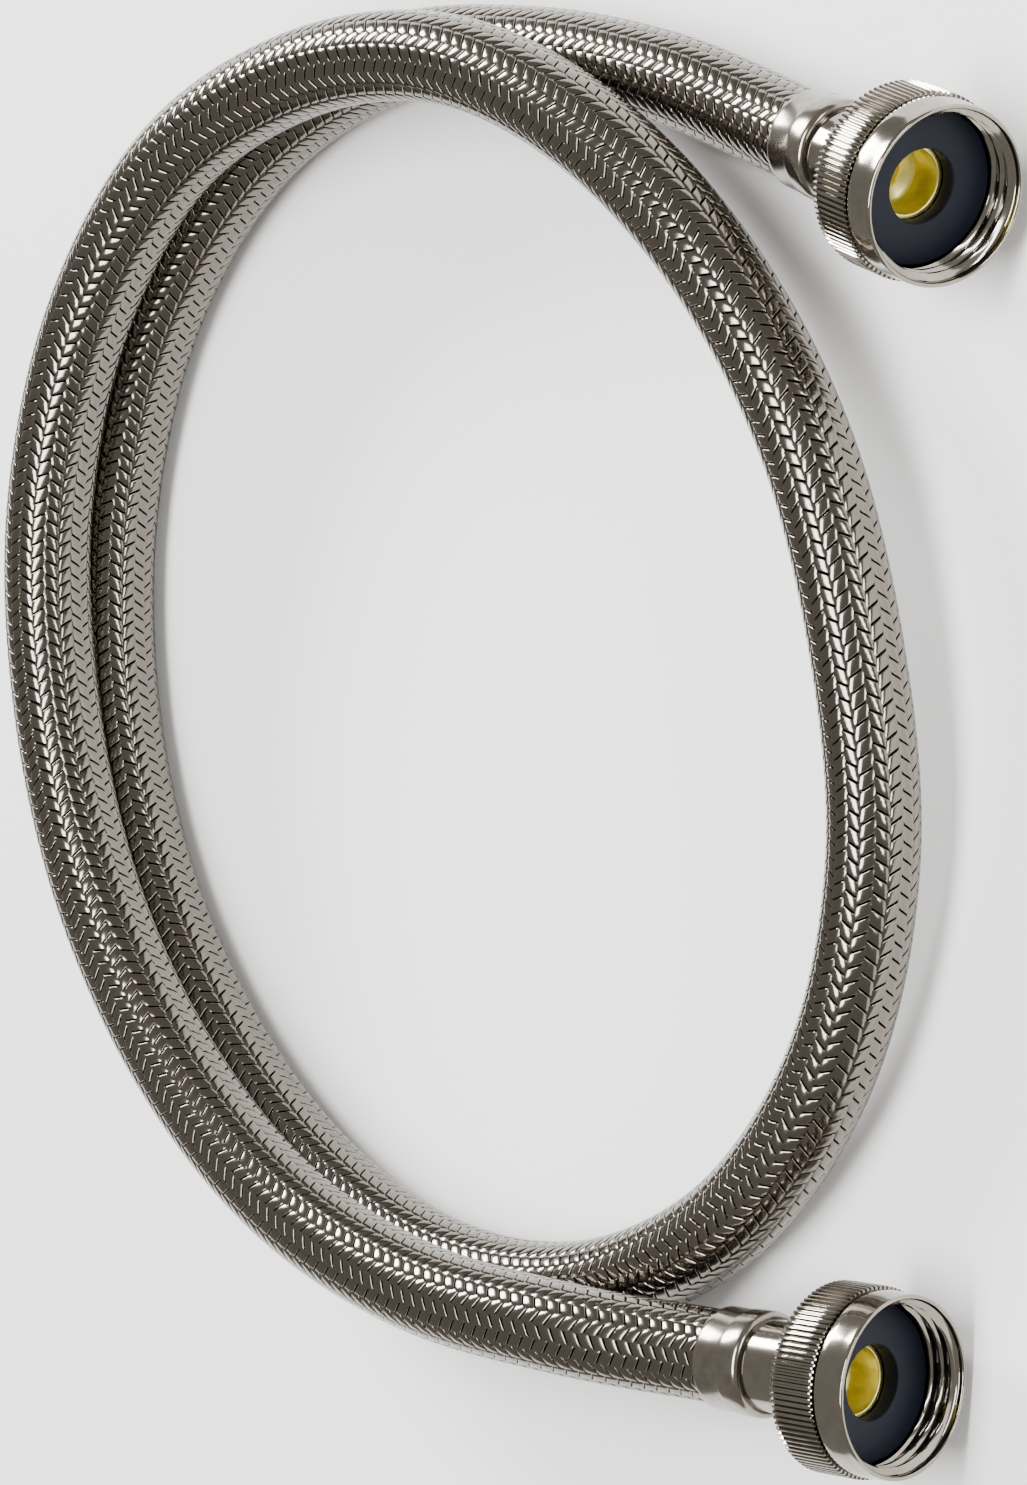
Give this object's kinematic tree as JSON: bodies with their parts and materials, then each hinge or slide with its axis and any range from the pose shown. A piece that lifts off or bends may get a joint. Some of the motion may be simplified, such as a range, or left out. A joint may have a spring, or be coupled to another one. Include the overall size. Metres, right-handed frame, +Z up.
{
  "type": "braided supply line",
  "caption": "Flexible water supply hose in a woven metal sleeve, lying in a loose coil, with a crimped ferrule and a knurled swivel nut with a rubber washer on each end.",
  "frame": {"origin": "on the surface that the coil lies on, under the middle of the whole part's box", "axes": "+Z up, across the coil; -Y towards the two nuts; +X towards end A, whose hose is the lower turn"},
  "size_m": [0.2328, 0.2144, 0.0319],
  "materials": {
    "liner_rubber": "matt black",
    "braid_steel": "bright woven stainless wire",
    "ferrule_nickel": "nickel plated, satin from crimping",
    "insert_brass": "nickel plated neck, bare brass bore",
    "washer_rubber": "smooth blue-black",
    "nut_nickel": "polished nickel plate"
  },
  "bodies": {
    "hose": {"liner": "liner_rubber", "braid_sleeve": "braid_steel", "ferrule_a": "ferrule_nickel", "insert_a": "insert_brass", "ferrule_b": "ferrule_nickel", "insert_b": "insert_brass"},
    "nut_a": {"swivel_nut_a": "nut_nickel", "washer_a": "washer_rubber"},
    "nut_b": {"swivel_nut_b": "nut_nickel", "washer_b": "washer_rubber"}
  },
  "joints": [
    {"name": "nut_a_swivel", "type": "hinge", "parent": "hose", "child": "nut_a", "pos_m": [0.08388, -0.08966, 0.01549], "axis": [-0.2879, -0.9418, 0.1736], "continuous": true},
    {"name": "nut_b_swivel", "type": "hinge", "parent": "hose", "child": "nut_b", "pos_m": [-0.1007, -0.08346, 0.0161], "axis": [-0.0523, -0.9985, -0.0174], "continuous": true}
  ]
}
